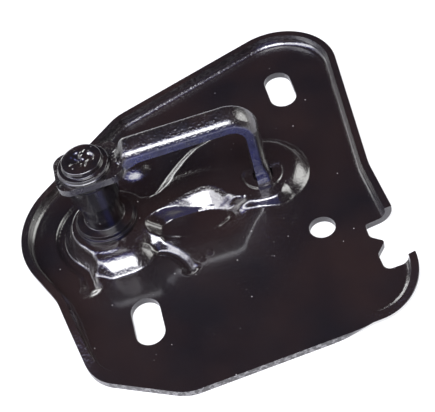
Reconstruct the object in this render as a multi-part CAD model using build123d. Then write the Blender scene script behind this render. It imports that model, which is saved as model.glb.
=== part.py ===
from build123d import *
import math
import os

# Hood latch striker: a stamped steel plate that carries a shouldered striker pin
# and a forged bar. The bar's flat eye is riveted under the pin's head, and its leg
# comes back down to the plate, so pin, bar and plate close a loop for the claw.
#
# Frame: the origin is the axis of the round locating hole, on the mounting face.
# +Z leaves the plate on the pin's side, and both slots run along Y.

# Sheet
SHEET = 2.5
RIM_HEIGHT = 4.0
RIM_BEND_INSIDE = 2.5
RIM_FADE_LEFT_FROM_WAIST = 8.8
RIM_FADE_LEFT = 26.0
RIM_FADE_RIGHT_AT = (25.0, -24.0)
RIM_FADE_RIGHT = 30.0
RIM_FADE_RIGHT_HEADING = 220.0
CORNER_END_FROM_HEEL = 21.4
CORNER_FADE = 14.0

# Fasteners: one round hole and two slots
HOLE_DIAMETER = 9.0
SLOT_WIDTH = 10.0
SLOT_LENGTH = 19.0
SLOT_LOW_AT = (-64.6, -16.0)
SLOT_HIGH_AT = (4.3, 70.8)

# Pin and bar places
PIN_X = -70.0
PIN_Y = 28.0
LEG_FROM_PIN = 57.0

# Plate outline
LOBE_RADIUS = 31.7
LOBE_UPPER_ANGLE = 130.5
LOBE_LOWER_ANGLE = 205.0
CROWN_AT = (5.6, 76.6)
CROWN_RADIUS = 22.3
CROWN_RIGHT_ANGLE = -5.6
CROWN_LEFT_ANGLE = 108.6
SHOULDER_CORNER = (-58.6, 79.2, 16.0)
RIGHT_DIP = (22.6, 18.0, 30.0)
RIGHT_HEEL = (25.4, -42.0, 19.0)
FOOT_CORNER = (-57.6, -47.2, 14.0)
LEFT_HEEL = (-86.2, -32.2, 14.0)
WAIST_CORNER = (-92.5, 0.6, 20.0)

# Raised pad
PAD_HEIGHT = 5.0
PAD_SLOPE = 48.0
BOSS_TOP_RADIUS = 14.5
BOSS_FOOT_RADIUS = 17.5
LEG_LOBE_AT = (-13.7, 31.0)
LEG_LOBE_RADIUS = 17.0
PAD_TOP_ROUND = 2.0
WALL_INSET = 0.8
TONGUE_SLOPE = 42.0
TONGUE_TOP = [
    (-80.0, 12.9, 1.5), (-64.2, 12.9, 3.0), (-62.0, 24.0, 3.0), (-80.0, 24.0, 3.0),
]
TONGUE_TOP_ROUND = 1.4
TONGUE_SIDE_LOW = -79.2
TONGUE_SIDE_HIGH = -77.5
SHOULDER_SLOPE = 30.0
SHOULDER_TOP = [
    (-63.0, 17.5, 2.0), (-59.5, 17.5, 2.0), (-56.0, 25.0, 2.0), (-63.0, 25.0, 2.0),
]
BRIDGE_TOP = [
    (-60.0, 24.0, 3.0), (-20.0, 24.0, 3.0), (-11.0, 50.0, 9.0), (-24.0, 53.2, 11.0),
    (-36.0, 49.4, 12.0), (-44.8, 41.8, 8.0), (-49.5, 34.2, 6.5), (-60.0, 34.6, 3.0),
]
SHELF_STEP = 1.0
SHELF_SLOPE = 45.0
SHELF_FLOOR = [
    (-48.5, 36.8, 2.0), (-36.0, 37.8, 5.0), (-28.0, 34.5, 3.0), (-16.0, 34.5, 3.0),
    (-16.0, 62.0, 3.0), (-48.5, 62.0, 3.0),
]
APRON_RISE = 2.2
APRON_FOOT = [(-61.0, -7.0), (-9.0, -9.0), (-1.0, 28.0), (-61.0, 28.0)]
APRON_TOP = [(-57.0, 24.0), (-25.0, 24.0), (-23.0, 28.0), (-57.0, 28.0)]

# Sunk forms
CHANNEL_DEPTH = 1.2
CHANNEL_FLOOR_WIDTH = 4.0
CHANNEL_WALL_SLOPE = 45.0
RING_FLOOR_WIDTH = 2.1
RING_WALL_WIDTH = 1.4
CHANNEL_BACK_ANGLE = 55.0
CHANNEL_FRONT_ANGLE = 236.0
CHANNEL_END = (-81.2, 5.6)
BEAN_START = (-56.2, 12.6)
BEAN_MIDDLE = (-50.8, 8.2)
BEAN_END = (-47.2, 1.2)
BEAN_HEIGHT = 2.8
POCKET_FLOOR_AT = (-40.8, 19.6)
POCKET_FLOOR_SIZE = (22.6, 10.4)
POCKET_LEDGE_AT = (-40.8, 19.4)
POCKET_LEDGE_SIZE = (25.4, 13.4)
SCOOP_FLOOR_AT = (-40.5, 17.6)
SCOOP_FLOOR_SIZE = (27.6, 14.6)
SCOOP_MOUTH_AT = (-40.5, 19.4)
SCOOP_MOUTH_SIZE = (31.6, 24.0)
SEAT_RADIUS = 8.3
SEAT_DEPTH = 0.9

# Striker pin
PIN_FLANGE_RADIUS = 11.0
PIN_FLANGE_EDGE = 1.8
PIN_FLANGE_TOP_RADIUS = 8.8
PIN_FLANGE_HEIGHT = 3.2
NECK_RADIUS = 7.0
NECK_FLARE = 1.8
SHOULDER_RADIUS = 8.4
SHOULDER_START = 14.4
SHOULDER_ROUND = 0.8
LUG_SEAT_HEIGHT = 25.3
RIVET_RADIUS = 6.0
HEAD_RADIUS = 9.2
HEAD_EDGE = 1.9
HEAD_STEP_RADIUS = 8.4
HEAD_CONE_RADIUS = 7.1
HEAD_TOP_RADIUS = 5.9
HEAD_HEIGHT = 4.5
HEAD_DIMPLE_RADIUS = 3.4
HEAD_DIMPLE_DEPTH = 0.7
HEAD_CONE_DROP = 0.5
HEAD_EDGE_RISE = 0.3
TAIL_RADIUS = 8.0
TAIL_FLAT_RADIUS = 5.6
TAIL_HEIGHT = 2.4

# Striker bar
LUG_THICKNESS = 2.7
LUG_LEFT = 10.3
LUG_RIGHT = 12.4
LUG_WIDTH = 17.6
LUG_CORNER = 4.8
BAR_WIDTH = 9.0
BAR_THICKNESS = 5.6
BAR_RISE = 1.6
BEND_INSIDE = 5.5
BAR_CROWN = 2.2
RAMP_START = 9.6
RAMP_LENGTH = 6.0
RAMP_UNDER_SHIFT = 3.0
LEG_TENON_RADIUS = 2.6
LEG_TAIL_RADIUS = 4.4
LEG_TAIL_FLAT_RADIUS = 3.0
LEG_TAIL_HEIGHT = 2.0

# Fits
RIVET_CLEARANCE = 0.05

os.makedirs("parts", exist_ok=True)

pad_top = SHEET + PAD_HEIGHT
leg_x = PIN_X + LEG_FROM_PIN
lug_bottom = pad_top + LUG_SEAT_HEIGHT
lug_top = lug_bottom + LUG_THICKNESS
bar_bottom = lug_bottom + BAR_RISE
bar_top = bar_bottom + BAR_THICKNESS


def tangent_corner(centre, radius, angle_a, angle_b):
    """Corner where the tangents of a circle at two angles meet, with its radius."""
    middle = math.radians((angle_a + angle_b) / 2)
    half = math.radians(abs(angle_b - angle_a) / 2)
    reach = radius / math.cos(half)
    return (centre[0] + reach * math.cos(middle), centre[1] + reach * math.sin(middle), radius)


def rounded_face(corners):
    """Flat face through (x, y, radius) corners, each rounded by its own arc."""
    face = make_face(Polyline([(x, y) for x, y, _ in corners], close=True))
    for x, y, radius in corners:
        nearest = face.vertices().sort_by_distance(Vector(x, y, 0))[0]
        face = fillet(nearest, radius)
    return face


def formed(top_face, height, slope):
    """Solid over the sheet, from its top face down, that widens at a wall slope."""
    face = Pos(0, 0, SHEET + height) * top_face
    return extrude(face, height, dir=(0, 0, -1), taper=slope - 90)


def heading_vector(heading):
    """Unit vector in the plate's plane."""
    angle = math.radians(heading)
    return Vector(math.cos(angle), math.sin(angle), 0)


def box_between(low, high):
    """Box between two opposite corners."""
    size = [b - a for a, b in zip(low, high)]
    middle = [(a + b) / 2 for a, b in zip(low, high)]
    return Pos(*middle) * Box(*size)


def plate_outline():
    """Outer outline of the plate, with the edge notch not yet cut."""
    lobe = tangent_corner((PIN_X, PIN_Y), LOBE_RADIUS, LOBE_UPPER_ANGLE, LOBE_LOWER_ANGLE)
    crown = tangent_corner(CROWN_AT, CROWN_RADIUS, CROWN_RIGHT_ANGLE, CROWN_LEFT_ANGLE)
    return rounded_face([
        RIGHT_HEEL, RIGHT_DIP, crown, SHOULDER_CORNER, lobe,
        WAIST_CORNER, LEFT_HEEL, FOOT_CORNER,
    ])


def edge_place(corner_a, corner_b, reach):
    """Point on the straight edge between two outline corners, and the edge's heading."""
    heading = math.degrees(math.atan2(corner_b[1] - corner_a[1], corner_b[0] - corner_a[0]))
    return Vector(corner_a[0], corner_a[1], 0) + heading_vector(heading) * reach, heading


def square_region(left_end, left_heading, right_end, low_heading):
    """Column over the lower left edge, where the rim's lower corner isn't rounded."""
    left_in = heading_vector(left_heading + 90) * 30
    low_in = heading_vector(low_heading - 90) * 30
    corners = [right_end + low_in, right_end - low_in, left_end - low_in * 5,
               left_end - left_in, left_end + left_in]
    face = make_face(Polyline(corners, close=True))
    return Pos(0, 0, -1) * extrude(face, SHEET + RIM_HEIGHT + 2)


def corner_fade(start, heading, inward_turn):
    """Wedge that eases the rim's rounded lower corner out along a straight edge."""
    radius = RIM_BEND_INSIDE + SHEET
    along = heading_vector(heading)
    inward = heading_vector(heading + inward_turn)
    corner = Plane(origin=start, x_dir=inward, z_dir=inward.cross(Vector(0, 0, 1)))
    reach = radius * (1 - math.sqrt(0.5))
    profile = make_face([
        Line((-1, -1), (radius, -1)),
        Line((radius, -1), (radius, 0)),
        ThreePointArc((radius, 0), (reach, reach), (0, radius)),
        Line((0, radius), (-1, radius)),
        Line((-1, radius), (-1, -1)),
    ])
    drop = along * CORNER_FADE - Vector(0, 0, radius)
    return extrude(corner * profile, drop.length, dir=drop.normalized())


def rim_trim(start, heading, length, half_width):
    """Block over the rim whose underside eases down to the sheet's top face."""
    high = SHEET + RIM_HEIGHT
    far = length * 3
    profile = make_face([
        Spline((0, high), (length, SHEET), tangents=[(1, 0), (1, 0)]),
        Line((length, SHEET), (far, SHEET)),
        Line((far, SHEET), (far, high + 5)),
        Line((far, high + 5), (0, high + 5)),
        Line((0, high + 5), (0, high)),
    ])
    along = heading_vector(heading)
    across = along.cross(Vector(0, 0, 1))
    plane = Plane(origin=(start[0], start[1], 0), x_dir=along, z_dir=across)
    return extrude(plane * profile, half_width, both=True)


def rimmed_sheet():
    """Flat sheet with a turned-up rim that fades out along the lower edge."""
    outline = plate_outline()
    full = extrude(outline, SHEET + RIM_HEIGHT)
    inner = Pos(0, 0, SHEET) * extrude(offset(outline, -SHEET), RIM_HEIGHT)
    inner = fillet(inner.edges().group_by(Axis.Z)[0], RIM_BEND_INSIDE)
    rounded = fillet(full.edges().group_by(Axis.Z)[0], RIM_BEND_INSIDE + SHEET)
    left_end, left_heading = edge_place(WAIST_CORNER, LEFT_HEEL, RIM_FADE_LEFT_FROM_WAIST)
    right_end, low_heading = edge_place(RIGHT_HEEL, FOOT_CORNER, CORNER_END_FROM_HEEL)
    square_edge = square_region(left_end, left_heading, right_end, low_heading)
    tray = (full - inner) - ((full - rounded) - square_edge)
    tray -= corner_fade(left_end, left_heading, 90)
    tray -= corner_fade(right_end, low_heading, -90)
    tray -= rim_trim((left_end.X, left_end.Y), -90, RIM_FADE_LEFT, 70)
    right_low = box_between((-25, -60, -1), (60, RIM_FADE_RIGHT_AT[1], 20))
    right_trim = rim_trim(RIM_FADE_RIGHT_AT, RIM_FADE_RIGHT_HEADING, RIM_FADE_RIGHT, 60)
    return tray - (right_trim & right_low)


def edge_notch():
    """Notch in the right edge, with the small tooth that stands in it."""
    face = rounded_face([
        (34.0, -1.8, 0.5), (13.5, -4.6, 1.0), (13.4, -10.0, 2.2), (17.6, -13.4, 1.1),
        (13.7, -17.8, 2.2), (13.9, -25.0, 2.4), (20.0, -24.7, 8.0), (34.0, -22.2, 0.5),
    ])
    return extrude(Pos(0, 0, -1) * face, SHEET + RIM_HEIGHT + 2)


def turned_form(place, foot_radius, top_radius, height, inset):
    """Round form with a sloped wall and a rounded outer edge, topped at the pad's height."""
    form = Cone(foot_radius - inset, top_radius - inset, height)
    if not inset:
        form = fillet(form.edges().group_by(Axis.Z)[-1], PAD_TOP_ROUND)
    return Pos(place[0], place[1], pad_top - height / 2) * form


def pad_form(inset=0.0):
    """Raised forms above the sheet: bridge with its pocket, apron, boss, tongue and lobe."""
    bridge = formed(inset_face(BRIDGE_TOP, inset), PAD_HEIGHT, PAD_SLOPE)
    shoulder = formed(inset_face(SHOULDER_TOP, inset), PAD_HEIGHT, SHOULDER_SLOPE)
    tongue = formed(inset_face(TONGUE_TOP, inset), PAD_HEIGHT, TONGUE_SLOPE)
    if not inset:
        bridge = fillet(bridge.edges().group_by(Axis.Z)[-1], PAD_TOP_ROUND)
        tongue = fillet(tongue.edges().group_by(Axis.Z)[-1], TONGUE_TOP_ROUND)
    tongue -= Pos(inset, 0, 0) * tongue_side()
    draw_in = PAD_HEIGHT / math.tan(math.radians(PAD_SLOPE))
    lobe_top = LEG_LOBE_RADIUS - draw_in
    lobe = turned_form(LEG_LOBE_AT, LEG_LOBE_RADIUS, lobe_top, PAD_HEIGHT, inset)
    boss = turned_form((PIN_X, PIN_Y), BOSS_FOOT_RADIUS, BOSS_TOP_RADIUS, PAD_HEIGHT, inset)
    body = bridge - shelf_form() + shoulder + apron_form(inset) - scoop_form()
    return body + boss + tongue + lobe - pocket_form()


def tongue_side():
    """Block that leaves the tongue's left side as a steep wall over the channel."""
    low = SHEET - CHANNEL_DEPTH
    lean = (TONGUE_SIDE_HIGH - TONGUE_SIDE_LOW) / (pad_top - low)
    high = pad_top + 1
    profile = make_face(Plane.XZ * Polyline([
        (TONGUE_SIDE_LOW, low), (TONGUE_SIDE_HIGH + lean, high),
        (TONGUE_SIDE_LOW - 12, high), (TONGUE_SIDE_LOW - 12, low),
    ], close=True))
    return extrude(profile, 40, both=True)


def apron_form(inset):
    """Easy slope that rises from the flat sheet to the bridge."""
    foot = make_face(Polyline(APRON_FOOT, close=True))
    top = make_face(Polyline(APRON_TOP, close=True))
    if inset:
        foot = offset(foot, -inset, kind=Kind.INTERSECTION)
        top = offset(top, -inset, kind=Kind.INTERSECTION)
    foot = Pos(0, 0, SHEET) * foot
    top = Pos(0, 0, SHEET + APRON_RISE) * top
    return loft([foot.face(), top.face()], ruled=True)


def shelf_form():
    """Cut that lowers the bridge a step behind its crest."""
    floor = Pos(0, 0, pad_top - SHELF_STEP) * rounded_face(SHELF_FLOOR)
    return extrude(floor, 2 * SHELF_STEP, taper=SHELF_SLOPE - 90)


def inset_face(corners, inset):
    """Rounded face, drawn in by an inset where one is given."""
    face = rounded_face(corners)
    return offset(face, -inset) if inset else face


def boss_channel():
    """Groove pressed round the back and left of the pin boss."""
    floor_z = SHEET - CHANNEL_DEPTH
    wall = BOSS_FOOT_RADIUS + RING_FLOOR_WIDTH
    lip = wall + RING_WALL_WIDTH
    section = Polyline([
        (lip, SHEET), (wall, floor_z), (BOSS_FOOT_RADIUS, floor_z),
        (BOSS_FOOT_RADIUS, SHEET + 1), (lip, SHEET + 1),
    ], close=True)
    section = make_face(Plane.XZ * section)
    sweep_angle = CHANNEL_FRONT_ANGLE - CHANNEL_BACK_ANGLE
    ring = revolve(section, Axis.Z, revolution_arc=sweep_angle)
    return Pos(PIN_X, PIN_Y, 0) * (Rot(0, 0, CHANNEL_BACK_ANGLE) * ring)


def straight_channel():
    """Straight groove that leads from the boss channel to its round front end."""
    half = CHANNEL_FLOOR_WIDTH / 2
    floor = Pos(CHANNEL_END[0], CHANNEL_END[1] + 4, 0) * Rectangle(2 * half, 8)
    floor += Pos(*CHANNEL_END, 0) * Circle(half)
    return extrude(Pos(0, 0, SHEET - CHANNEL_DEPTH) * floor, CHANNEL_DEPTH, taper=CHANNEL_WALL_SLOPE - 90)


def bean_groove():
    """Short curved groove on the other side of the boss's front."""
    half = CHANNEL_FLOOR_WIDTH / 2
    floor = trace(ThreePointArc(BEAN_START, BEAN_MIDDLE, BEAN_END), 2 * half)
    floor += Pos(*BEAN_START) * Circle(half)
    floor += Pos(*BEAN_END) * Circle(half)
    return extrude(Pos(0, 0, SHEET - CHANNEL_DEPTH) * floor, BEAN_HEIGHT, taper=CHANNEL_WALL_SLOPE - 90)


def oval_loft(low_at, low_size, low_z, high_at, high_size, high_z):
    """Solid between two level ovals."""
    low = Pos(*low_at, low_z) * SlotOverall(*low_size)
    high = Pos(*high_at, high_z) * SlotOverall(*high_size)
    return loft([low.face(), high.face()])


def scoop_form():
    """Bowl in the bridge's front, with short ends and a long easy slope at its back."""
    return oval_loft(SCOOP_FLOOR_AT, SCOOP_FLOOR_SIZE, SHEET + APRON_RISE,
                     SCOOP_MOUTH_AT, SCOOP_MOUTH_SIZE, pad_top)


def pocket_form():
    """Oval pocket in the apron, at the foot of the bowl."""
    return oval_loft(POCKET_FLOOR_AT, POCKET_FLOOR_SIZE, SHEET,
                     POCKET_LEDGE_AT, POCKET_LEDGE_SIZE, SHEET + APRON_RISE)


def seat_form():
    """Shallow round seat at the leg's foot."""
    seat = extrude(Circle(SEAT_RADIUS - SEAT_DEPTH), SEAT_DEPTH + 1, taper=-45)
    return Pos(leg_x, PIN_Y, pad_top - SEAT_DEPTH) * seat


def through_hole(x, y, radius):
    """Round hole through the sheet at any height."""
    return Pos(x, y, SHEET) * Cylinder(radius, 30)


def slot_hole(place):
    """Slotted hole through the flat sheet, along Y."""
    face = Rot(0, 0, 90) * SlotOverall(SLOT_LENGTH, SLOT_WIDTH)
    return extrude(Pos(place[0], place[1], -5) * face, 20)


def base_plate():
    """Stamped plate with rim, pad, grooves and fastening holes."""
    plate = rimmed_sheet() - boss_channel() - straight_channel() + pad_form()
    plate -= bean_groove()
    plate -= seat_form()
    hollow = pad_form(WALL_INSET) - bean_groove() - seat_form()
    plate -= Pos(0, 0, -SHEET) * hollow
    plate -= edge_notch()
    plate -= slot_hole(SLOT_LOW_AT)
    plate -= slot_hole(SLOT_HIGH_AT)
    plate -= through_hole(0, 0, HOLE_DIAMETER / 2)
    plate -= through_hole(PIN_X, PIN_Y, RIVET_RADIUS)
    plate -= through_hole(leg_x, PIN_Y, LEG_TENON_RADIUS)
    return plate


def striker_pin():
    """Shouldered pin, peened under the plate and headed over the bar's eye."""
    shank = RIVET_RADIUS - RIVET_CLEARANCE
    seat = LUG_SEAT_HEIGHT
    top = seat + LUG_THICKNESS
    edge = top + HEAD_EDGE
    summit = top + HEAD_HEIGHT
    neck_low = PIN_FLANGE_HEIGHT + NECK_FLARE
    neck_top = SHOULDER_START - SHOULDER_ROUND
    tail_z = -SHEET - TAIL_HEIGHT
    dimple_z = summit - HEAD_DIMPLE_DEPTH
    ball = (HEAD_DIMPLE_RADIUS**2 + HEAD_DIMPLE_DEPTH**2) / (2 * HEAD_DIMPLE_DEPTH)
    halfway = HEAD_DIMPLE_RADIUS / 2
    dimple_middle = (halfway, dimple_z + ball - math.sqrt(ball**2 - halfway**2))
    outline = [
        Line((0, tail_z), (TAIL_FLAT_RADIUS, tail_z)),
        Line((TAIL_FLAT_RADIUS, tail_z), (TAIL_RADIUS, -SHEET)),
        Line((TAIL_RADIUS, -SHEET), (shank, -SHEET)),
        Line((shank, -SHEET), (shank, 0)),
        Line((shank, 0), (PIN_FLANGE_RADIUS, 0)),
        Line((PIN_FLANGE_RADIUS, 0), (PIN_FLANGE_RADIUS, PIN_FLANGE_EDGE)),
        Line((PIN_FLANGE_RADIUS, PIN_FLANGE_EDGE), (PIN_FLANGE_TOP_RADIUS, PIN_FLANGE_HEIGHT)),
        Line((PIN_FLANGE_TOP_RADIUS, PIN_FLANGE_HEIGHT), (NECK_RADIUS, neck_low)),
        Line((NECK_RADIUS, neck_low), (NECK_RADIUS, neck_top)),
        Line((NECK_RADIUS, neck_top), (SHOULDER_RADIUS, SHOULDER_START)),
        Line((SHOULDER_RADIUS, SHOULDER_START), (SHOULDER_RADIUS, seat)),
        Line((SHOULDER_RADIUS, seat), (shank, seat)),
        Line((shank, seat), (shank, top)),
        Line((shank, top), (HEAD_RADIUS, top)),
        Line((HEAD_RADIUS, top), (HEAD_RADIUS, edge)),
        Line((HEAD_RADIUS, edge), (HEAD_STEP_RADIUS, edge + HEAD_EDGE_RISE)),
        Line((HEAD_STEP_RADIUS, edge + HEAD_EDGE_RISE),
             (HEAD_CONE_RADIUS, summit - HEAD_CONE_DROP)),
        Line((HEAD_CONE_RADIUS, summit - HEAD_CONE_DROP), (HEAD_TOP_RADIUS, summit)),
        Line((HEAD_TOP_RADIUS, summit), (HEAD_DIMPLE_RADIUS, summit)),
        ThreePointArc((HEAD_DIMPLE_RADIUS, summit), dimple_middle, (0, dimple_z)),
        Line((0, dimple_z), (0, tail_z)),
    ]
    section = make_face(Plane.XZ * Wire(outline))
    return Pos(PIN_X, PIN_Y, pad_top) * revolve(section, Axis.Z)


def bar_body():
    """Bar and leg in one bend, seen from the side and given its width."""
    half = BAR_THICKNESS / 2
    inner_x = leg_x - half
    outer_x = leg_x + half
    foot_z = pad_top - SEAT_DEPTH
    ramp_x = PIN_X + RAMP_START
    rise_x = ramp_x + RAMP_LENGTH
    under_start = ramp_x + RAMP_UNDER_SHIFT
    under_end = rise_x + RAMP_UNDER_SHIFT
    bend_outside = BEND_INSIDE + BAR_THICKNESS
    bend_x = inner_x - BEND_INSIDE
    bend_z = bar_bottom - BEND_INSIDE
    swing = math.sqrt(0.5)
    side = [
        Spline((ramp_x, lug_top), (rise_x, bar_top), tangents=[(1, 0), (1, 0)]),
        Line((rise_x, bar_top), (bend_x, bar_top)),
        ThreePointArc((bend_x, bar_top),
                      (bend_x + bend_outside * swing, bend_z + bend_outside * swing),
                      (outer_x, bend_z)),
        Line((outer_x, bend_z), (outer_x, foot_z)),
        Line((outer_x, foot_z), (inner_x, foot_z)),
        Line((inner_x, foot_z), (inner_x, bend_z)),
        ThreePointArc((inner_x, bend_z),
                      (bend_x + BEND_INSIDE * swing, bend_z + BEND_INSIDE * swing),
                      (bend_x, bar_bottom)),
        Line((bend_x, bar_bottom), (under_end, bar_bottom)),
        Spline((under_end, bar_bottom), (under_start, lug_bottom), tangents=[(-1, 0), (-1, 0)]),
        Line((under_start, lug_bottom), (ramp_x, lug_bottom)),
        Line((ramp_x, lug_bottom), (ramp_x, lug_top)),
    ]
    section = make_face(Plane.XZ * Wire(side))
    return Pos(0, PIN_Y, 0) * extrude(section, BAR_WIDTH / 2, both=True)


def striker_bar():
    """Forged bar: flat riveted eye, crowned bar, and a leg peened under the plate."""
    bar = bar_body()
    crown = bar.edges().filter_by(Plane.XZ).filter_by(lambda e: on_outside(e))
    bar = fillet(crown, BAR_CROWN)
    lug = RectangleRounded(LUG_LEFT + LUG_RIGHT, LUG_WIDTH, LUG_CORNER)
    lug = Pos(PIN_X + (LUG_RIGHT - LUG_LEFT) / 2, PIN_Y, lug_bottom) * lug
    bar += extrude(lug, LUG_THICKNESS)
    bar -= Pos(PIN_X, PIN_Y, lug_bottom) * Cylinder(RIVET_RADIUS, 20)
    foot_z = pad_top - SEAT_DEPTH
    tenon = Cylinder(LEG_TENON_RADIUS - RIVET_CLEARANCE, SHEET)
    tail = Cone(LEG_TAIL_FLAT_RADIUS, LEG_TAIL_RADIUS, LEG_TAIL_HEIGHT)
    bar += Pos(leg_x, PIN_Y, foot_z - SHEET / 2) * tenon
    bar += Pos(leg_x, PIN_Y, foot_z - SHEET - LEG_TAIL_HEIGHT / 2) * tail
    return bar


def on_outside(edge):
    """True for the long edges of the bar's top face and the leg's outer face."""
    middle = edge.position_at(0.5)
    above = middle.Z > bar_bottom + BAR_THICKNESS * 0.6 and middle.X > PIN_X + RAMP_START
    beside = middle.X > leg_x + BAR_THICKNESS * 0.4 and middle.Z > pad_top
    return above or beside


NODES = {
    "base_plate": base_plate,
    "striker_pin": striker_pin,
    "striker_bar": striker_bar,
}

for name, build_node in NODES.items():
    export_step(build_node(), f"parts/{name}.step")
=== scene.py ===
# %% [markdown]
# # Hood latch striker
# The object is the striker half of a hood latch: a stamped steel plate, a shouldered pin
# riveted through it, and a forged bar that runs from the pin's head back down to the plate.
# All of it is dipped in glossy black paint. The CAD model holds every size; this script
# gives the three pieces their soft stamped edges, their tool marks and their paint.

# %% Frame
import bmesh
import bpy
import math
from mathutils import Matrix, Vector, noise


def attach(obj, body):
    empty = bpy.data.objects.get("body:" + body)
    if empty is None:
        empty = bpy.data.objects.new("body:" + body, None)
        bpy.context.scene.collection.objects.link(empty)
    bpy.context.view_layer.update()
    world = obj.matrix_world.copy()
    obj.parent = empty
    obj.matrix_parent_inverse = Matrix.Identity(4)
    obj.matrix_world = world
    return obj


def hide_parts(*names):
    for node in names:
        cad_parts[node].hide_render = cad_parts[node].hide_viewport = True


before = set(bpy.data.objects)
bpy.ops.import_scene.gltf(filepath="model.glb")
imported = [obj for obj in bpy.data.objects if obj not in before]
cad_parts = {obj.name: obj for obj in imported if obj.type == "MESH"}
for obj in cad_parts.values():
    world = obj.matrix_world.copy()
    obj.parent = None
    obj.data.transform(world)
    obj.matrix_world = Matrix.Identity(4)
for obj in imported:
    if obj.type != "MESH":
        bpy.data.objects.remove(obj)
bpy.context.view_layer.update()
MM = 0.001
print("CAD nodes:", sorted(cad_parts))

# %% [markdown]
# The photo is taken from above the plate's front edge, turned a little, with a fairly long
# lens at a short distance. Lens, place and turn are those at which the plate's hole, both
# slots and the pin's circles fall where they do in the photo. The camera's own axes are
# written as three directions, so nothing has to be aimed.

# %% Camera
VIEW_RIGHT = Vector((0.9545, -0.2216, -0.1996))
VIEW_UP = Vector((0.2982, 0.7092, 0.6388))
VIEW_BACK = Vector((0.0, -0.6693, 0.7430))
camera_data = bpy.data.cameras.new("camera")
camera_data.sensor_fit = "HORIZONTAL"
camera_data.sensor_width = 36.0
camera_data.lens = 91.52
camera = bpy.data.objects.new("camera", camera_data)
bpy.context.scene.collection.objects.link(camera)
turn = Matrix((VIEW_RIGHT, VIEW_UP, VIEW_BACK)).transposed().to_4x4()
camera.matrix_world = Matrix.Translation(Vector((-31.6, -236.6, 291.1)) * MM) @ turn
bpy.context.scene.camera = camera
bpy.context.scene.view_settings.view_transform = "Standard"
print("lens", camera_data.lens, "mm, camera at", tuple(round(v, 3) for v in camera.location))

# %% [markdown]
# Shader maths reads best as plain expressions. This small class wraps one socket, so that
# `1 - mask` or `noise * 0.2` adds the Math nodes by itself, and any other node is made by
# `node`, which takes its type, its settings and the values or links of its sockets.


# %% Shader helper
class Wire:
    """One output socket, with Python's operators as Math nodes."""

    def __init__(self, tree, socket):
        self.tree = tree
        self.socket = socket

    def math(self, operation, *others):
        made = self.tree.nodes.new("ShaderNodeMath")
        made.operation = operation
        for place, value in enumerate((self,) + others):
            put(self.tree, made.inputs[place], value)
        return Wire(self.tree, made.outputs[0])

    def __add__(self, other):
        return self.math("ADD", other)

    def __radd__(self, other):
        return self.math("ADD", other)

    def __sub__(self, other):
        return self.math("SUBTRACT", other)

    def __rsub__(self, other):
        return (self * -1.0).math("ADD", other)

    def __mul__(self, other):
        return self.math("MULTIPLY", other)

    def __rmul__(self, other):
        return self.math("MULTIPLY", other)

    def above(self, low, high):
        """0 below low, 1 above high, with a straight ramp between them."""
        made = self.tree.nodes.new("ShaderNodeMapRange")
        made.inputs["From Min"].default_value = low
        made.inputs["From Max"].default_value = high
        self.tree.links.new(self.socket, made.inputs["Value"])
        return Wire(self.tree, made.outputs["Result"])


def put(tree, socket, value):
    """Links a wire to a socket, or sets the socket's own value."""
    if isinstance(value, Wire):
        tree.links.new(value.socket, socket)
    else:
        socket.default_value = value


def node(tree, kind, settings=None, inputs=None, output=0):
    """Any other node: settings first, then values or wires; returns one output."""
    made = tree.nodes.new(kind)
    for name, value in (settings or {}).items():
        setattr(made, name, value)
    for name, value in (inputs or {}).items():
        put(tree, made.inputs[name], value)
    return Wire(tree, made.outputs[output])


def blend_colours(tree, amount, first, second):
    """Mix node on colours. Its sockets go by number, because their names repeat there."""
    made = tree.nodes.new("ShaderNodeMix")
    made.data_type = "RGBA"
    put(tree, made.inputs[0], amount)
    put(tree, made.inputs[6], first)
    put(tree, made.inputs[7], second)
    return Wire(tree, made.outputs[2])


print("shader helper ready")

# %% [markdown]
# Black gloss paint shows little colour of its own. What the eye sees is the room mirrored
# in it, so the room is built from what the photo's highlights mirror. An arch of soft white
# light stands overhead and runs down to the left, with a blue fringe and one lamp as its
# bright core, and it whitens each slope that leans a little towards the viewer. Small
# windows at the left, at the right and low behind light the round forms' flanks and the
# near lips of the grooves. The rest of the room is dark, which keeps the flat sheet black.

# %% Lights
MIDDLE = (-0.035, 0.025, 0.01)
LAMP_AT, LAMP_SIZE, LAMP_RADIANCE = (-0.06, -0.40, 0.80), (0.56, 0.34), 9.0


def soft_light(name, place, aim, size, radiance):
    """White area lamp of a stated radiance, aimed at a point."""
    data = bpy.data.lights.new(name, "AREA")
    data.shape = "RECTANGLE"
    data.size, data.size_y = size
    data.energy = radiance * math.pi * size[0] * size[1]
    lamp = bpy.data.objects.new(name, data)
    lamp.location = place
    lamp.rotation_euler = (Vector(aim) - Vector(place)).to_track_quat("-Z", "Y").to_euler()
    bpy.context.scene.collection.objects.link(lamp)


soft_light("light_above", LAMP_AT, MIDDLE, LAMP_SIZE, LAMP_RADIANCE)

# %% [markdown]
# The room is the world's colour, painted by direction. `facing` says how near a direction
# comes to a stated one, so a window is a spot round its middle, and the arch is a band that
# keeps a right angle to one axis. Each patch is blended over the ones before it. The camera
# itself sees plain white there, as in the photo.

# %% Room
world = bpy.data.worlds.new("room")
bpy.context.scene.world = world
world.use_nodes = True
tree = world.node_tree
direction = node(tree, "ShaderNodeTexCoord", output="Generated")


def facing(x, y, z, low, high):
    """0 to 1 as a direction of the room turns towards (x, y, z)."""
    towards = tuple(Vector((x, y, z)).normalized())
    settings = {"operation": "DOT_PRODUCT"}
    product = node(tree, "ShaderNodeVectorMath", settings, {0: direction, 1: towards}, "Value")
    return product.above(low, high)


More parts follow.
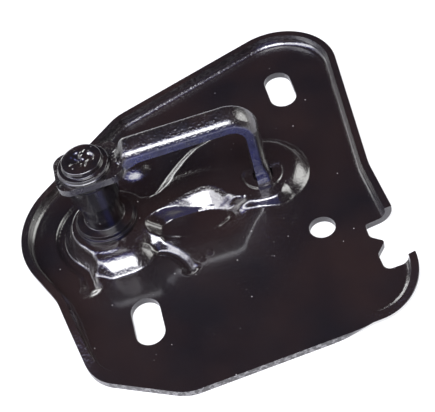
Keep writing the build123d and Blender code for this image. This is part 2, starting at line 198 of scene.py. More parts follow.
ARCH_AXIS = (0.21, 0.93, 0.30)
DARK_ROOM = (0.020, 0.011, 0.013, 1.0)
PLAIN_WHITE = (1.0, 1.0, 1.0, 1.0)
height = facing(0, 0, 1, -1.0, 1.0) * 2.0 - 1.0
sky = height.above(0.16, 0.34)
left_half = (1 - facing(1, 0, 0, 0.10, 0.42)) * sky
blue_fringe = facing(*ARCH_AXIS, -0.48, -0.32) * (1 - facing(*ARCH_AXIS, 0.16, 0.40)) * left_half
white_arch = facing(*ARCH_AXIS, -0.40, -0.24) * (1 - facing(*ARCH_AXIS, 0.04, 0.18)) * left_half
patches = [
    (blue_fringe, (0.30, 0.34, 1.5, 1.0)),
    (facing(0.0, -0.88, 0.46, 0.84, 0.94), (0.10, 0.12, 0.40, 1.0)),  # low in front
    (white_arch, (5.8, 5.8, 6.1, 1.0)),
    (facing(-0.80, 0.42, 0.42, 0.93, 0.985), (0.9, 0.9, 1.0, 1.0)),  # left
    (facing(-0.68, 0.66, 0.31, 0.982, 0.995), (2.4, 2.4, 2.4, 1.0)),  # left, low and behind
    (facing(-0.30, 0.93, 0.13, 0.96, 0.985), (4.5, 4.5, 4.5, 1.0)),  # low and behind
    (facing(0.87, 0.20, 0.42, 0.925, 0.98), (4.0, 4.0, 3.9, 1.0)),  # right
    (1 - height.above(0.02, 0.12), (0.9, 0.9, 0.9, 1.0)),  # the pale ground's horizon
]
room_colour = DARK_ROOM
for amount, light in patches:
    room_colour = blend_colours(tree, amount, room_colour, light)
seen = node(tree, "ShaderNodeLightPath", output="Is Camera Ray")
backdrop = tree.nodes["Background"]
put(tree, backdrop.inputs["Color"], blend_colours(tree, seen, room_colour, PLAIN_WHITE))
backdrop.inputs["Strength"].default_value = 1.0
print("patches of light in the room:", len(patches))

# %% [markdown]
# The photo's ground is plain white. The floor is a pale sheet that glows a little, so its lit
# part is white and the striker's own shadow stays as a soft grey. In the paint's mirror it
# glows less, because the photo's black steel shows no bright ground.

# %% Floor
FLOOR_HALF = 3.0
GLOW_SEEN, GLOW_MIRRORED = 0.65, 0.15
floor_mesh = bpy.data.meshes.new("floor")
sheet = bmesh.new()
bmesh.ops.create_grid(sheet, x_segments=1, y_segments=1, size=FLOOR_HALF)
bmesh.ops.translate(sheet, verts=sheet.verts, vec=(0, 0, -0.0002))
sheet.to_mesh(floor_mesh)
sheet.free()
floor = bpy.data.objects.new("floor", floor_mesh)
bpy.context.scene.collection.objects.link(floor)
floor_paint = bpy.data.materials.new("white_ground")
floor_paint.use_nodes = True
tree = floor_paint.node_tree
principled = tree.nodes["Principled BSDF"]
principled.inputs["Base Color"].default_value = (0.40, 0.40, 0.40, 1.0)
principled.inputs["Roughness"].default_value = 1.0
principled.inputs["Specular IOR Level"].default_value = 0.0
principled.inputs["Emission Color"].default_value = (1.0, 1.0, 1.0, 1.0)
seen = node(tree, "ShaderNodeLightPath", output="Is Camera Ray") * GLOW_SEEN
through = node(tree, "ShaderNodeLightPath", output="Is Transmission Ray") * GLOW_SEEN
mirrored = node(tree, "ShaderNodeLightPath", output="Is Glossy Ray") * GLOW_MIRRORED
glow = seen.math("MAXIMUM", mirrored).math("MAXIMUM", through)
put(tree, principled.inputs["Emission Strength"], glow)
floor_mesh.materials.append(floor_paint)
print("floor half side", FLOOR_HALF, "m")

# %% [markdown]
# The plate is one sheet of 2.5 mm steel, pressed between two dies. The CAD node gives its
# rim, holes and cut edges exactly, but its raised pad is made of plain slopes, where the
# real sheet flows from one form to the next. So a merged copy of the node keeps the rim
# and every cut edge, and the flat middle of both sides is taken out, to be filled again
# with a fine square mesh that can take any pressed shape. From here on, plain numbers and
# points are millimetres in the plate's own plan, and MM turns them into Blender's metres.

# %% Plate: what the copy keeps
SHEET = 2.5
PAD_TOP = 7.5
PIN_AT = (-70.0, 28.0)
LEG_AT = (-13.0, 28.0)
LOW_SLOT_AT = (-64.6, -16.0)
PRESSED_AREA = [
    (-86.4, -1.5), (-72.5, -4.6), (-57.0, -4.6), (-54.5, -12.0), (-7.5, -12.0), (-7.5, 4.0),
    (9.5, 22.0), (9.5, 45.0), (-6.0, 59.5), (-45.0, 60.0), (-62.0, 55.0), (-84.0, 48.0),
    (-94.0, 34.0), (-94.5, 24.0), (-90.0, 9.5),
]
CLEARED_AREA = [
    (-86.6, 0.0), (-85.2, -7.0), (-72.5, -14.0), (-7.5, -16.0), (12.0, -4.0), (14.0, 18.0),
    (14.0, 46.0), (-5.0, 62.5), (-45.0, 66.0), (-62.0, 59.0), (-84.0, 49.0), (-94.6, 34.0),
    (-95.0, 24.0), (-90.2, 9.5),
]


def within(area, x, y):
    """True where a point lies inside a polygon."""
    odd = False
    for (ax, ay), (bx, by) in zip(area, area[1:] + area[:1]):
        if (ay > y) != (by > y) and x < ax + (y - ay) * (bx - ax) / (by - ay):
            odd = not odd
    return odd


def from_axis(point, axis):
    """Distance in mm from an upright axis."""
    return math.hypot(point.x / MM - axis[0], point.y / MM - axis[1])


def is_cut_wall(face, middle):
    """True for a wall of a drilled or punched hole."""
    upright = abs(face.normal.z) < 0.3
    near_rivet = from_axis(middle, PIN_AT) < 6.6 or from_axis(middle, LEG_AT) < 3.2
    near_hole = from_axis(middle, (0.0, 0.0)) < 6.0
    beside_slot = abs(middle.x / MM - LOW_SLOT_AT[0]) < 5.6
    near_slot = beside_slot and abs(middle.y / MM - LOW_SLOT_AT[1]) < 10.2
    return upright and (near_rivet or near_hole or near_slot)


def is_flat_side(face, middle):
    """True for the sheet's level top or underside."""
    level = abs(face.normal.z) > 0.9999
    return level and min(abs(middle.z / MM - SHEET), abs(middle.z / MM)) < 0.002


plate = bmesh.new()
plate.from_mesh(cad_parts["base_plate"].data)
bmesh.ops.remove_doubles(plate, verts=plate.verts, dist=1e-6)
cleared = []
for face in plate.faces:
    middle = face.calc_center_median()
    pressed = within(CLEARED_AREA, middle.x / MM, middle.y / MM) and not is_cut_wall(face, middle)
    if pressed or is_flat_side(face, middle):
        cleared.append(face)
bmesh.ops.delete(plate, geom=cleared, context="FACES")
bmesh.ops.dissolve_limit(plate, angle_limit=math.radians(0.4), verts=plate.verts, edges=plate.edges)
print("kept", len(plate.faces), "faces;", sum(e.is_boundary for e in plate.edges), "open edges")

# %% [markdown]
# Two functions carry the whole pressed shape. `lower_of` and `upper_of` are a minimum and a
# maximum whose meeting line is rounded, just as a die rounds the line where two forms meet;
# their last number is how wide that rounding is. Hills are joined with `upper_of` and
# grooves are cut with `lower_of`.

# %% Plate: rounding and distances
def lower_of(a, b, blend):
    near = max(blend - abs(a - b), 0.0) / blend
    return min(a, b) - near * near * blend / 4


def upper_of(a, b, blend):
    return -lower_of(-a, -b, blend)


def ease(value, low, high):
    """0 at low, 1 at high, smooth at both ends."""
    t = min(max((value - low) / (high - low), 0.0), 1.0)
    return t * t * (3 - 2 * t)


def path_distance(path, x, y):
    """Distance to a polyline."""
    best = 1e9
    for (ax, ay), (bx, by) in zip(path, path[1:]):
        run_x, run_y = bx - ax, by - ay
        t = ((x - ax) * run_x + (y - ay) * run_y) / (run_x * run_x + run_y * run_y)
        t = min(max(t, 0.0), 1.0)
        best = min(best, math.hypot(x - ax - t * run_x, y - ay - t * run_y))
    return best


def outside_distance(area, x, y):
    """Distance outside a polygon, negative inside it."""
    distance = path_distance(area + area[:1], x, y)
    return -distance if within(area, x, y) else distance


print("rounded corner of two slopes:", round(lower_of(1.0, 1.0, 1.0), 3))

# %% [markdown]
# The hills, from left to right in the photo: the round boss under the pin with its blunt
# tongue towards the viewer, the long bridge, and the round lobe that carries the bar's leg.
# An apron rises slowly in front of them, and a low swell lies behind. Each function gives
# the height that one form alone would have at a point.

# %% Plate: hills
BRIDGE = [
    (-66.0, 19.0), (-56.0, 20.5), (-50.0, 20.0), (-30.0, 20.0), (-20.0, 20.0), (-12.0, 30.0),
    (-11.0, 45.0), (-17.0, 51.0), (-25.0, 52.6), (-33.0, 50.0), (-38.0, 46.2), (-43.8, 40.5),
    (-47.4, 36.2), (-50.0, 34.0), (-53.5, 33.2), (-57.6, 34.6), (-62.0, 37.5),
]
LOBE_AT = (-13.7, 31.0)
SWELL_AT = (-56.5, 53.0)


def blunt(away, curl):
    """A hill's side that starts level and steepens evenly, like a worn nose."""
    return PAD_TOP - curl * max(away, 0.0) ** 2 - 0.4 * min(away, 0.0)


def boss(x, y):
    """Round boss under the pin, steep all round but blunt beside the bean-shaped groove."""
    reach = math.hypot(x - PIN_AT[0], y - PIN_AT[1])
    turn = math.degrees(math.atan2(y - PIN_AT[1], x - PIN_AT[0]))
    towards_bean = ease(turn, -100.0, -70.0) * ease(-turn, -5.0, 20.0)
    steep = PAD_TOP - 1.9 * (reach - 14.4)
    return steep + (blunt(reach - 12.0, 0.085) - steep) * towards_bean


def tongue(x, y):
    """The boss's blunt tongue, with a steeper bank at its left end."""
    front = blunt(16.0 - y, 0.046)
    bank = PAD_TOP - 1.15 * (13.4 - y)
    front = lower_of(front, bank + 6.0 * ease(x, -79.0, -69.5), 1.0)
    crown = 0.05 * max(x + 66.0, 0.0) ** 2
    left = PAD_TOP - 2.4 * (-77.9 - x)
    back = PAD_TOP - 1.5 * (y - 24.0)
    return lower_of(lower_of(front - crown, left, 1.2), back, 1.0)


def bridge(x, y):
    """Level bridge, with a steep front and a gentler back."""
    away = outside_distance(BRIDGE, x, y)
    slope = 1.35 - 0.75 * ease(-y, -30.0, -22.0)
    return PAD_TOP - slope * away


def crest_line(x):
    """Where the bridge's crest runs, with a small step down behind it."""
    return 33.2 + 2.8 * ease(x, -51.0, -41.0) - 4.4 * ease(x, -35.0, -22.0)


def step_down(x, y):
    """How far the sheet lies below the crest."""
    beyond = ease(y - crest_line(x), 0.0, 4.4)
    return 0.62 * beyond * ease(x, -50.5, -46.0) * ease(-x, 20.0, 31.0)


def leg_lobe(x, y):
    """Round lobe under the bar's leg, steep on its left and blunt on its right."""
    reach = math.hypot(x - LOBE_AT[0], y - LOBE_AT[1])
    turn = math.degrees(math.atan2(y - LOBE_AT[1], x - LOBE_AT[0]))
    steep = PAD_TOP - 1.7 * (reach - 15.8)
    return steep + (blunt(reach - 9.6, 0.078) - steep) * ease(turn, -82.0, -56.0)


def back_hill(x, y):
    """Low swell behind the channel's far end."""
    reach = math.hypot(x - SWELL_AT[0], y - SWELL_AT[1])
    return SHEET - 0.9 + 3.4 * ease(-reach, -9.5, -1.0)


def apron(x, y):
    """Slow rise from the flat sheet up to the bridge's front."""
    left = ease(x, -60.0, -46.0)
    right = ease((-6.0 - x) * 0.9 + (y + 6.0) * 0.436, 2.0, 24.0)
    swell = 0.8 + 3.3 * ease(x, -30.0, -14.0)
    toe = -12.0 + 9.0 * ease(-x, 48.0, 55.0)
    return SHEET + swell * left * right * ease(y, toe, 17.0) * ease(-y, -34.0, -23.0)


print("bridge outline:", len(BRIDGE), "points")

# %% [markdown]
# The sunk forms: the scoop that bites into the bridge's front, the oval pocket at its foot,
# the channel that runs round the boss and ends beside the tongue, the bean-shaped groove on
# the tongue's other side, and the round seat under the bar's leg. Here a function gives the
# height down to which its form cuts.

# %% Plate: sunk forms
CHANNEL_RADIUS = 18.3
LEG_SEAT_TOP = 6.6
CHANNEL_PATH = [
    (PIN_AT[0] + CHANNEL_RADIUS * math.cos(math.radians(turn)),
     PIN_AT[1] + CHANNEL_RADIUS * math.sin(math.radians(turn)))
    for turn in range(52, 215, 6)
] + [(-83.4, 15.4), (-81.6, 12.0), (-81.1, 9.0), (-81.0, 5.6)]
BEAN_PATH = [(-55.4, 11.6), (-53.2, 10.6), (-50.4, 7.9), (-48.0, 3.9), (-46.8, -0.2)]
POCKET_AT, POCKET_HALF = (-41.0, 19.0), (11.6, 4.6)
PIPS = [(-41.6, 2.2, 0.5), (-38.8, 3.9, 0.8)]


def rise(away, slope):
    """A groove's wall: a slope that steepens with distance, so that it stays local."""
    out = max(0.0, away)
    return slope * out + 0.12 * out * out


def scoop_edge(x):
    """Where the scoop starts on the bridge's top."""
    return 24.8 + 4.8 * ease(x, -55.0, -36.0) - 9.5 * ease(x, -34.0, -22.0)


def scoop(x, y):
    """An even slope from its edge down to the pocket, closed at both ends."""
    inward = scoop_edge(x) - y
    face = PAD_TOP + 0.1 - 0.72 * max(inward, 0.0) + 2.0 * max(-inward, 0.0)
    return max(face, 3.5) + 1.6 * max(-52.5 - x, 0.0) + 0.45 * max(x + 27.0, 0.0)


def pocket(x, y):
    """Oval pocket, a little fuller than an ellipse, open towards the front."""
    along, up = x - POCKET_AT[0], y - POCKET_AT[1]
    long_way, short_way = abs(along) / POCKET_HALF[0], abs(up + 0.05 * along) / POCKET_HALF[1]
    away = ((long_way ** 2.6 + short_way ** 2.6) ** (1 / 2.6) - 1.0) * POCKET_HALF[1]
    walls = max(ease(y, 18.0, 21.0), ease(-x, 46.5, 50.0), 0.5 * ease(x, -34.0, -30.0))
    return 2.7 + 0.24 * max(away, 0.0) + walls * rise(away, 1.9)


def channel(x, y):
    """Channel round the boss: a level floor, with a steeper wall on its outer side."""
    away = path_distance(CHANNEL_PATH, x, y)
    outer = math.hypot(x - PIN_AT[0], y - PIN_AT[1]) > CHANNEL_RADIUS
    slope = (1.8 if outer and y > 17.0 else 1.1) - 0.72 * ease(-y, -7.0, -4.0)
    open_end = ease(x, -74.0, -63.0) * ease(y, 34.0, 40.0)
    return 1.2 + 1.7 * open_end + rise(away - 1.2, slope)


def bean(x, y):
    """Bean-shaped groove, with a steeper wall on its near side."""
    away = path_distance(BEAN_PATH, x, y)
    far_side = ease((x + 50.0) * 0.8 + (y - 6.0) * 0.6, -1.5, 1.5)
    slope = 1.7 - 0.55 * far_side - 0.7 * ease(-y, -1.5, 0.5)
    return 1.3 + rise(away - 0.9, slope)


def leg_seat(x, y):
    """Round seat under the leg, open towards the back."""
    away = math.hypot(x - LEG_AT[0], y - LEG_AT[1]) - 6.6
    return LEG_SEAT_TOP + rise(away, 0.6) + 1.6 * ease(y, 28.0, 34.0)


def pips(x, y):
    """Two small raised spots beside the bean."""
    return sum(0.35 * ease(-math.hypot(x - pip_x, y - pip_y), -radius - 0.6, -0.2)
               for pip_x, pip_y, radius in PIPS)


def edge_share(x, y):
    """0 on the border of the pressed area, 1 a little inside it."""
    return ease(-outside_distance(PRESSED_AREA, x, y), 0.5, 3.0)


def pressed_height(x, y):
    """Height of the sheet's top face: hills joined, then capped, then grooves cut."""
    height = upper_of(bridge(x, y), apron(x, y), 1.0)
    height = lower_of(height, scoop(x, y), 0.8)
    height = upper_of(height, leg_lobe(x, y), 0.4)
    height = upper_of(height, boss(x, y), 0.6)
    height = upper_of(height, tongue(x, y), 0.25)
    height = upper_of(height, back_hill(x, y), 0.8)
    height = lower_of(height, PAD_TOP, 1.5 - 1.1 * ease(-x, 78.0, 84.0))
    height -= step_down(x, y) * ease(height, 4.5, 7.0)
    height = lower_of(height, pocket(x, y), 0.8)
    height = lower_of(height, channel(x, y), 0.7 + 1.6 * ease(-y, -21.0, -15.0))
    height = lower_of(height, bean(x, y), 1.2)
    height = lower_of(height, leg_seat(x, y), 0.6) + pips(x, y)
    return SHEET + (height - SHEET) * edge_share(x, y)


for title, x, y in (("under the pin", -70, 28), ("leg seat", -13, 28), ("pocket", -41, 19.7)):
    print(title, round(pressed_height(x, y), 2), "mm")


# %% [markdown]
# Each side gets its own square mesh, finer on the top, which is seen close to. The mesh's
# stepped border lies where the sheet is still level, so the strip between it and the rim
# can be filled with plain triangles without any seam showing. The same is done round the
# two rivet holes, whose walls come from the CAD node.

# %% Plate: square meshes for both sides
TOP_PITCH, UNDER_PITCH = 0.5, 0.75


def pressed_mesh(pitch, top):
    """One side of the pressed area as a mesh of small squares, raised to its height."""
    side = bmesh.new()
    low_x, high_x, low_y, high_y = -96.0, 12.0, -14.0, 62.0
    columns, rows = round((high_x - low_x) / pitch), round((high_y - low_y) / pitch)
    bmesh.ops.create_grid(side, x_segments=columns, y_segments=rows, size=0.5)
    scale = ((high_x - low_x) * MM, (high_y - low_y) * MM, 1.0)
    bmesh.ops.scale(side, verts=side.verts, vec=scale)
    place = ((low_x + high_x) / 2 * MM, (low_y + high_y) / 2 * MM, 0.0)
    bmesh.ops.translate(side, verts=side.verts, vec=place)
    spare = []
    for face in side.faces:
        middle = face.calc_center_median()
        beyond = not within(PRESSED_AREA, middle.x / MM, middle.y / MM)
        if beyond or from_axis(middle, PIN_AT) < 7.4 or from_axis(middle, LEG_AT) < 3.6:
            spare.append(face)
    bmesh.ops.delete(side, geom=spare, context="FACES")
    for vert in side.verts:
        height = pressed_height(vert.co.x / MM, vert.co.y / MM)
        vert.co.z = (height if top else max(height - SHEET, 0.0)) * MM
    if not top:
        bmesh.ops.reverse_faces(side, faces=side.faces)
    made = bpy.data.meshes.new("pressed_side")
    side.to_mesh(made)
    side.free()
    return made


for mesh in (pressed_mesh(TOP_PITCH, True), pressed_mesh(UNDER_PITCH, False)):
    plate.from_mesh(mesh)
    bpy.data.meshes.remove(mesh)
print("with both square meshes:", len(plate.faces), "faces")


# %% Plate: filling the strips
def border_at(height, axis=None, reach=9.0):
    """Open edges at one height: all round the sheet, or near one axis."""
    found = []
    for edge in plate.edges:
        if not edge.is_boundary:
            continue
        middle = (edge.verts[0].co + edge.verts[1].co) / 2
        level = abs(middle.z / MM - height) < 0.05
        close = from_axis(middle, PIN_AT) < 9.0 or from_axis(middle, LEG_AT) < 5.0
        if level and (from_axis(middle, axis) < reach if axis else not close):
            found.append(edge)
    return found


strips = [
    (border_at(SHEET), 1), (border_at(0.0), -1),
    (border_at(PAD_TOP, PIN_AT), 1), (border_at(PAD_TOP - SHEET, PIN_AT), -1),
    (border_at(LEG_SEAT_TOP, LEG_AT, 5.0), 1), (border_at(LEG_SEAT_TOP - SHEET, LEG_AT, 5.0), -1),
]
for edges, way in strips:
    bmesh.ops.triangle_fill(plate, use_beauty=True, edges=edges, normal=(0, 0, way))
bmesh.ops.recalc_face_normals(plate, faces=plate.faces)
print("open edges left:", sum(e.is_boundary for e in plate.edges))

# %% [markdown]
# A punched edge is never razor sharp, and the paint on it rounds it further. Every edge that
# turns by more than about fifty degrees gets a small round, which is what draws the thin
# bright line along the rim and round each hole. Rounds and cut walls also get a mark, which
# the paint reads later to show wear there, and painted highlight glints along the front.

# %% Plate: rounded cut edges
EDGE_ROUND, ROUND_MARK, WALL_MARK = 0.35, 1.0, 0.4
edge_mark = plate.faces.layers.float.new("edge_mark")
cut_edges = [e for e in plate.edges if e.is_manifold and e.calc_face_angle() > math.radians(50)]
rounded = bmesh.ops.bevel(plate, geom=cut_edges, offset=EDGE_ROUND * MM, offset_type="OFFSET",
                          segments=2, profile=0.5, affect="EDGES", material=-1,
                          clamp_overlap=True)
for face in plate.faces:
    face[edge_mark] = WALL_MARK if abs(face.normal.z) < 0.3 else 0.0
for face in rounded["faces"]:
    face[edge_mark] = ROUND_MARK
print("edges rounded:", len(cut_edges))

# %% [markdown]
# All three pieces are handed over in the same way: smooth faces, normals weighted by area so
# that large flats stay flat beside small rounds, a tie to the frame's body, and the CAD node
# that the piece stands for hidden. Each piece gets its material later, with its paint.


# %% Handing over a piece
def finish_piece(form, title, node_name):
    """Makes a bmesh the finished object."""
    for face in form.faces:
        face.smooth = True
    mesh = bpy.data.meshes.new(title)
    form.to_mesh(mesh)
    form.free()
    piece = bpy.data.objects.new(title, mesh)
    bpy.context.scene.collection.objects.link(piece)
    even = piece.modifiers.new("even_shading", "WEIGHTED_NORMAL")
    even.keep_sharp = True
    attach(piece, "root")
    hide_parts(node_name)
    print(title, len(mesh.polygons), "faces")
    return piece


plate_piece = finish_piece(plate, "pressed_plate", "base_plate")

# %% [markdown]
# The striker pin is a turned part that was riveted cold. Its outline is drawn once, from the
# peened end under the plate up to the middle of its head, and spun round its axis. The head
# is made of low steps, which the riveting tool leaves, and its middle is hammered rough, so
# the dish there is pushed up and down by a noise, but never above the CAD model's top.

# %% Pin: outline and spin
PIN_OUTLINE = [
    (0.0, -4.85), (5.4, -4.85), (7.9, -2.55), (5.9, -2.5), (5.9, 0.02), (11.0, 0.02),
    (11.0, 1.35), (10.2, 1.5), (10.1, 2.9), (9.0, 3.05), (8.8, 3.15), (7.4, 3.3), (7.0, 3.8),
    (7.0, 13.4), (7.5, 13.7), (8.4, 14.4), (8.4, 23.2), (8.1, 23.6), (8.1, 24.2), (8.4, 24.6),
    (8.4, 25.28), (5.9, 25.28), (5.9, 28.02), (9.15, 28.02), (9.15, 28.85), (8.75, 29.0),
    (8.6, 29.8), (8.4, 29.95), (7.3, 30.05), (7.05, 30.2), (6.95, 31.75), (6.7, 32.0),
    (5.6, 32.15), (5.0, 32.1),
]
DISH_RINGS = [(5.0 - 0.35 * step, 32.1 - 0.03 * step) for step in range(1, 14)]
PIN_STEPS = 96
DISH_MIDDLE, DISH_ROUGHNESS, HIGHEST = 31.7, 0.9, 32.4

pin = bmesh.new()
corners = [pin.verts.new((r * MM, 0.0, z * MM)) for r, z in PIN_OUTLINE + DISH_RINGS]
corners.append(pin.verts.new((0.0, 0.0, DISH_MIDDLE * MM)))
for low, high in zip(corners, corners[1:]):
    pin.edges.new((low, high))
bmesh.ops.spin(pin, geom=pin.verts[:] + pin.edges[:], cent=(0, 0, 0), axis=(0, 0, 1),
               angle=math.tau, steps=PIN_STEPS, use_merge=True)
bmesh.ops.remove_doubles(pin, verts=pin.verts, dist=2e-6)
bmesh.ops.recalc_face_normals(pin, faces=pin.faces)
for vert in pin.verts:
    reach = math.hypot(vert.co.x, vert.co.y) / MM
    if vert.co.z > 31.0 * MM and reach < 5.2:
        rough = noise.noise(vert.co * 420.0) + 0.4 * noise.noise(vert.co * 950.0)
        vert.co.z += DISH_ROUGHNESS * MM * rough * ease(-reach, -5.2, -3.4)
        vert.co.z = min(vert.co.z, HIGHEST * MM)
ring_edges = [e for e in pin.edges if e.is_manifold and e.calc_face_angle() > math.radians(24)
              and math.hypot(e.verts[0].co.x, e.verts[0].co.y) > 5.5 * MM]
bmesh.ops.bevel(pin, geom=ring_edges, offset=0.16 * MM, offset_type="OFFSET", segments=2,
                profile=0.5, affect="EDGES", material=-1, clamp_overlap=True)
bmesh.ops.translate(pin, verts=pin.verts, vec=(PIN_AT[0] * MM, PIN_AT[1] * MM, PAD_TOP * MM))
pin_piece = finish_piece(pin, "striker_pin_turned", "striker_pin")

# %% [markdown]
# The bar is a forging with a thin riveted eye at one end. The CAD node has its shape and its
# filleted crown, but its top is level, where the real one falls away towards the viewer and
# so draws one long bright band. A merged copy of the node gets small rounds on its sharp
# edges, is cut into narrow strips, and has its outer side bent down across its width. The
# bend is reckoned from the inside of the bar's curve, so it follows the bar round its corner.

# %% Bar: crowned top and softened edges
STRIP_LINES = [23.7 + 0.6 * step for step in range(15)]
EYE_LINES = [-60.0, -59.0, -58.0, -57.0, -56.0, -55.0]
LEG_LINES = [10.0, 12.0, 14.0, 16.0]
BEND_AT, BEND_INSIDE, BAR_DEEP = (-21.3, 28.9), 5.5, 5.6
CROWN_FROM, CROWN_CURL = 31.0, 0.034


def crown_drop(point):
    """How far the crown pulls a point of the bar in, and in which direction."""
    x, y, z = point.x / MM, point.y / MM, point.z / MM
    across = max(CROWN_FROM - y, 0.0)
    side_x, side_z = x - BEND_AT[0], z - BEND_AT[1]
    if side_x > 0 and side_z > 0:
        reach = math.hypot(side_x, side_z)
        outward, share = (side_x / reach, side_z / reach), (reach - BEND_INSIDE) / BAR_DEEP
    elif side_x > 0:
        outward, share = (1.0, 0.0), (side_x - BEND_INSIDE) / BAR_DEEP
    else:
        outward, share = (0.0, 1.0), (side_z - BEND_INSIDE) / BAR_DEEP
    share = min(max(share, 0.0), 1.0) * ease(x, -60.0, -55.0) * ease(z, 8.0, 16.0)
    drop = CROWN_CURL * across * across * share
    return Vector((-outward[0] * drop, 0.0, -outward[1] * drop)) * MM


bar = bmesh.new()
bar.from_mesh(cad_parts["striker_bar"].data)
bmesh.ops.remove_doubles(bar, verts=bar.verts, dist=1e-6)
bmesh.ops.dissolve_limit(bar, angle_limit=math.radians(0.4), verts=bar.verts, edges=bar.edges)
sharp = [e for e in bar.edges if e.is_manifold and e.calc_face_angle() > math.radians(40)
         and from_axis((e.verts[0].co + e.verts[1].co) / 2, PIN_AT) > 6.5]
bmesh.ops.bevel(bar, geom=sharp, offset=0.3 * MM, offset_type="OFFSET", segments=2,
                profile=0.5, affect="EDGES", material=-1, clamp_overlap=True)
for lines, way in ((STRIP_LINES, (0, 1, 0)), (EYE_LINES, (1, 0, 0)), (LEG_LINES, (0, 0, 1))):
    for line in lines:
        bmesh.ops.bisect_plane(bar, geom=bar.verts[:] + bar.edges[:] + bar.faces[:], dist=1e-6,
                               plane_co=[part * line * MM for part in way], plane_no=way)
for vert in bar.verts:
    vert.co += crown_drop(vert.co)
bmesh.ops.triangulate(bar, faces=[f for f in bar.faces if len(f.verts) > 4])
bar_piece = finish_piece(bar, "striker_bar_forged", "striker_bar")

# %% [markdown]
# The finish is a dipped black paint, baked on: a deep gloss over steel that was pressed,
# forged or turned. It is black with a faint warm tint that comes and goes over the sheet.
# Its skin is never quite smooth: a fine grain of about a millimetre breaks up every bright
# reflection, and a slower waviness bends it. A little dust sits on it as tiny pale specks.
# All of that is noise on Object coordinates, so it is fixed to the steel.

# %% Paint: what all three pieces share
WARM_BLACK = (0.017, 0.0105, 0.0105, 1.0)
COLD_BLACK = (0.008, 0.007, 0.009, 1.0)
# Blue for the painted reflection of the cool front light on the pin's neck.
REFLECTION_BLUE = (0.020, 0.022, 0.085, 1.0)
# Blues for the painted sheen on the bar's front side.
SHEEN_BLUE_DARK, SHEEN_BLUE_PALE = (0.012, 0.013, 0.045, 1.0), (0.032, 0.034, 0.115, 1.0)
DUST = (0.45, 0.43, 0.42, 1.0)
# Pale steel colour, used for both worn edges and painted highlight glints on the plate's front
# edge.
BARE_STEEL_AND_GLINT = (0.62, 0.61, 0.60, 1.0)


def noise_at(tree, place, per_metre, detail=2.0, rough=0.5):
    """Noise between 0 and 1 on the piece's own coordinates."""
    inputs = {"Vector": place, "Scale": per_metre, "Detail": detail, "Roughness": rough}
    return node(tree, "ShaderNodeTexNoise", inputs=inputs)


def start_paint(name):
    """A gloss material with the values that are the same all over."""
    paint = bpy.data.materials.new(name)
    paint.use_nodes = True
    shader = paint.node_tree.nodes["Principled BSDF"]
    shader.inputs["Specular IOR Level"].default_value = 0.8
    shader.inputs["IOR"].default_value = 1.5
    shader.inputs["Coat Weight"].default_value = 1.0
    shader.inputs["Coat Roughness"].default_value = 0.10
    shader.inputs["Coat IOR"].default_value = 1.7
    place = node(paint.node_tree, "ShaderNodeTexCoord", output="Object")
    return paint, paint.node_tree, shader, place


def grainy_normal(tree, place, grain, waves):
    """Fine grain and slow waviness as one bump."""
    fine = noise_at(tree, place, 1100.0, 1.0)
    slow = noise_at(tree, place, 330.0, 2.0)
    inputs = {"Height": fine * grain + slow * waves, "Distance": 0.001, "Strength": 1.0}
    return node(tree, "ShaderNodeBump", inputs=inputs)


def dust_mask(tree, place):
    """Tiny round specks, a few to each square centimetre."""
    cells = {"Vector": place, "Scale": 420.0}
    away = node(tree, "ShaderNodeTexVoronoi", inputs=cells, output="Distance")
    cell = node(tree, "ShaderNodeTexVoronoi", inputs=cells, output="Position")
    chosen = node(tree, "ShaderNodeTexWhiteNoise", inputs={"Vector": cell})
    return (1 - away.above(0.05, 0.11)) * chosen.above(0.90, 0.94)


def part_of(tree, vector, axis):
    """One axis of a vector."""
    return node(tree, "ShaderNodeSeparateXYZ", inputs={0: vector}, output=axis)


print("shared paint values ready")

# %% [markdown]
# On the plate the paint is thinnest on the punched edge, where it draws back as it bakes and
# later gets rubbed. The edge faces were marked while they were made, and a coarse noise
# decides where along them pale specks show. They are partly bare steel where the paint is
# rubbed through and partly painted highlight glints, nearly all of them along the front edge.

# %% Paint: plate
plate_paint, tree, shader, place = start_paint("plate_paint")
tint = noise_at(tree, place, 28.0, 3.0).above(0.35, 0.65)
colour = blend_colours(tree, tint, COLD_BLACK, WARM_BLACK)
colour = blend_colours(tree, dust_mask(tree, place), colour, DUST)
on_edge = node(tree, "ShaderNodeAttribute", {"attribute_name": "edge_mark"}, output="Fac")
along_front = 1 - part_of(tree, place, "Y").above(-0.045, -0.02)
# Pale specks on the marked edges near the front: partly bare steel where the paint is rubbed,
# partly painted highlight glints where the front light catches the edge.
wear_and_glint_spots = noise_at(tree, place, 700.0, 2.0).above(0.48, 0.58)
wear_and_painted_glints = wear_and_glint_spots * on_edge * (along_front * 0.9 + 0.1)
colour = blend_colours(tree, wear_and_painted_glints, colour, BARE_STEEL_AND_GLINT)
put(tree, shader.inputs["Base Color"], colour)
put(tree, shader.inputs["Roughness"], noise_at(tree, place, 90.0, 3.0) * 0.14 + 0.16)
put(tree, shader.inputs["Normal"], grainy_normal(tree, place, 0.18, 0.08))
plate_piece.data.materials.append(plate_paint)
print("plate paint:", len(tree.nodes), "nodes")
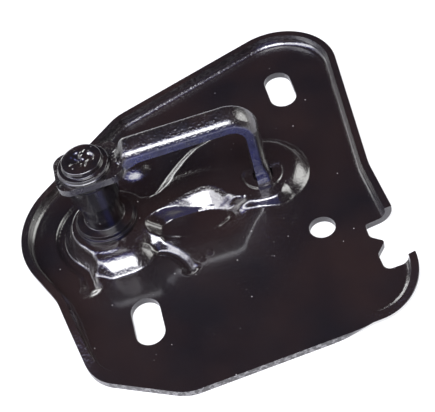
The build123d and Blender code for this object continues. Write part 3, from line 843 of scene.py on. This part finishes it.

# %% [markdown]
# The turned pin carries the same paint over fine turning marks: rings round its axis, read
# from the distance to that axis and from the height. Below the head the gloss coat is thin,
# so the neck stays black, except for a faint painted blue reflection down its front, which stands
# for the cool light mirrored there. This painted streak is mixed in by the piece's own surface
# direction, which is fixed to the steel.

# %% Paint: pin
pin_paint, tree, shader, place = start_paint("pin_paint")
shader.inputs["Coat IOR"].default_value = 1.8
shader.inputs["Specular IOR Level"].default_value = 0.25
to_axis = (-PIN_AT[0] * MM, -PIN_AT[1] * MM, 0.0)
centred = node(tree, "ShaderNodeMapping", inputs={"Vector": place, "Location": to_axis})
flattened = {0: centred, 1: (1.0, 1.0, 0.0)}
around = node(tree, "ShaderNodeVectorMath", {"operation": "MULTIPLY"}, flattened)
reach = node(tree, "ShaderNodeVectorMath", {"operation": "LENGTH"}, {0: around}, "Value")
level = part_of(tree, centred, "Z")
marks = ((reach + level) * 5200.0).math("SINE") * 0.5 + 0.5
tint = noise_at(tree, place, 120.0, 3.0).above(0.40, 0.70)
colour = blend_colours(tree, tint, COLD_BLACK, WARM_BLACK)
colour = blend_colours(tree, dust_mask(tree, place), colour, DUST)
# Painted reflection: the neck's faces that turn to the front get a blue streak, standing for the
# cool light mirrored there.
towards_front = {0: node(tree, "ShaderNodeTexCoord", output="Normal"), 1: (0.26, -0.96, 0.0)}
turned = node(tree, "ShaderNodeVectorMath", {"operation": "DOT_PRODUCT"}, towards_front, "Value")
below_head = 1 - level.above(0.0345, 0.0355)
painted_blue_reflection = turned.above(0.975, 1.0) * below_head * 0.4
put(tree, shader.inputs["Base Color"], blend_colours(tree, painted_blue_reflection, colour, REFLECTION_BLUE))
put(tree, shader.inputs["Coat Weight"], 1 - below_head * 0.7)
put(tree, shader.inputs["Roughness"], noise_at(tree, place, 240.0, 3.0) * 0.16 + 0.14)
height = marks * 0.004 + noise_at(tree, place, 1900.0, 1.0) * 0.03
inputs = {"Height": height, "Distance": 0.001, "Strength": 1.0}
put(tree, shader.inputs["Normal"], node(tree, "ShaderNodeBump", inputs=inputs))
pin_piece.data.materials.append(pin_paint)
print("pin paint:", len(tree.nodes), "nodes")

# %% [markdown]
# The forged bar has the coarsest skin of the three: scale left small pits under the paint.
# Its front side is painted a little bluer than the crowned top. This is a painted blue sheen that
# stands for the cool light reflected there. The colour is mixed by the piece's own surface
# direction, which is fixed to the steel and not to the camera.

# %% Paint: bar
bar_paint, tree, shader, place = start_paint("bar_paint")
# Painted sheen: faces turned to the front are mixed towards blue, standing for the cool light they
# reflect.
facing_front = part_of(tree, node(tree, "ShaderNodeTexCoord", output="Normal"), "Y")
beyond_eye = part_of(tree, place, "X").above(-0.060, -0.056)
painted_sheen_side = (1 - facing_front.above(-0.97, -0.80)) * (beyond_eye * 0.8 + 0.2)
tint = noise_at(tree, place, 110.0, 3.0).above(0.35, 0.70)
painted_sheen = blend_colours(tree, tint, SHEEN_BLUE_DARK, SHEEN_BLUE_PALE)
top = blend_colours(tree, tint, COLD_BLACK, WARM_BLACK)
colour = blend_colours(tree, painted_sheen_side, top, painted_sheen)
colour = blend_colours(tree, dust_mask(tree, place), colour, DUST)
put(tree, shader.inputs["Base Color"], colour)
put(tree, shader.inputs["Roughness"], noise_at(tree, place, 200.0, 3.0) * 0.2 + 0.18)
put(tree, shader.inputs["Normal"], grainy_normal(tree, place, 0.30, 0.20))
bar_piece.data.materials.append(bar_paint)
print("bar paint:", len(tree.nodes), "nodes")
